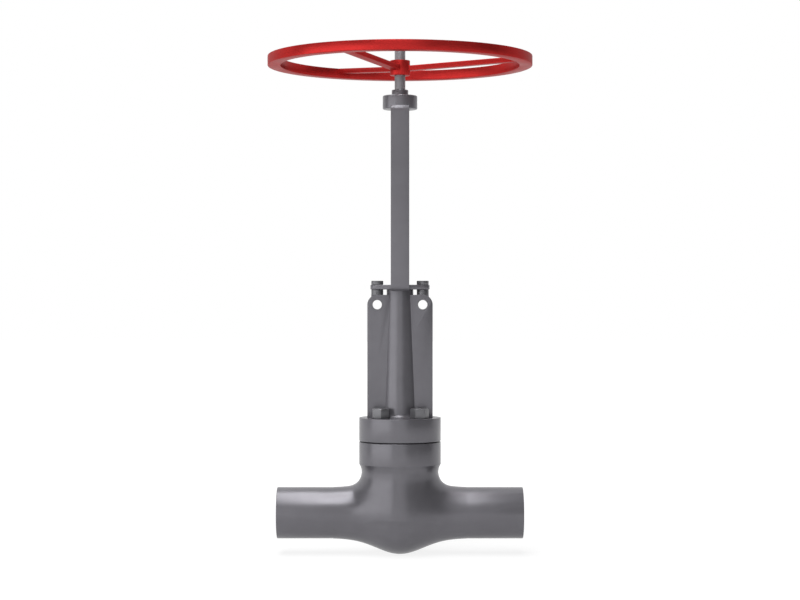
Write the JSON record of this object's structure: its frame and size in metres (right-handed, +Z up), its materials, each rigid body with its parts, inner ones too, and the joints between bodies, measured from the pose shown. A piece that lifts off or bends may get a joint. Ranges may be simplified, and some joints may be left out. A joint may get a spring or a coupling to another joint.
{
  "type": "socket weld globe valve",
  "caption": "Straight socket weld globe valve with extended bonnet, outside screw and yoke, swing gland bolts and a spoked handwheel whose rising stem lifts the disc off its seat.",
  "frame": {"origin": "the crossing of the pipe's axis and the stem's axis, in the middle of the body", "axes": "+X runs along the pipe from the inlet to the outlet, +Z runs up the stem to the handwheel, +Y points to the rear yoke arm"},
  "size_m": [0.3965, 0.3966, 0.7615],
  "materials": {
    "forged_body": "smooth grey coat over forged carbon steel",
    "fasteners": "steel under the same grey coat",
    "stem_bar": "ground stainless bar",
    "bushing": "turned bush under the grey coat",
    "trim": "turned and lapped steel",
    "graphite": "pressed graphite, matt",
    "handwheel": "satin red enamel over fabricated steel"
  },
  "bodies": {
    "root": {"body": "forged_body", "seat_ring": "trim", "bonnet": "forged_body", "left_rib": "forged_body", "right_rib": "forged_body", "backseat_bushing": "trim", "bonnet_gasket": "graphite", "bonnet_bolts": "fasteners", "packing_washer": "trim", "packing_ring_1": "graphite", "packing_ring_2": "graphite", "packing_ring_3": "graphite", "packing_ring_4": "graphite", "packing_ring_5": "graphite", "gland_follower": "trim", "gland_flange": "forged_body", "gland_eyebolts": "fasteners", "gland_nuts": "fasteners", "eyebolt_pins": "fasteners", "front_yoke_arm": "forged_body", "rear_yoke_arm": "forged_body", "yoke_head": "forged_body", "yoke_bushing": "bushing", "bushing_lock_screw": "fasteners"},
    "disc": {"disc": "trim", "disc_nut": "trim"},
    "stem": {"stem": "stem_bar", "handwheel_hub": "handwheel", "handwheel_rim": "handwheel", "handwheel_spoke_1": "handwheel", "handwheel_spoke_2": "handwheel", "handwheel_spoke_3": "handwheel", "handwheel_key": "fasteners", "handwheel_set_screw": "fasteners"}
  },
  "joints": [
    {"name": "stem_lift", "type": "slide", "parent": "root", "child": "disc", "axis": [0, 0, 1], "range_m": [0, 0.016]},
    {"name": "handwheel_turn", "type": "hinge", "parent": "disc", "child": "stem", "pos_m": [0, 0, 0], "axis": [0, 0, 1], "range_deg": [0, 1440]}
  ],
  "couplings": [
    {"joint": "stem_lift", "follows": "handwheel_turn", "m_per_rad": 0.00063662}
  ]
}
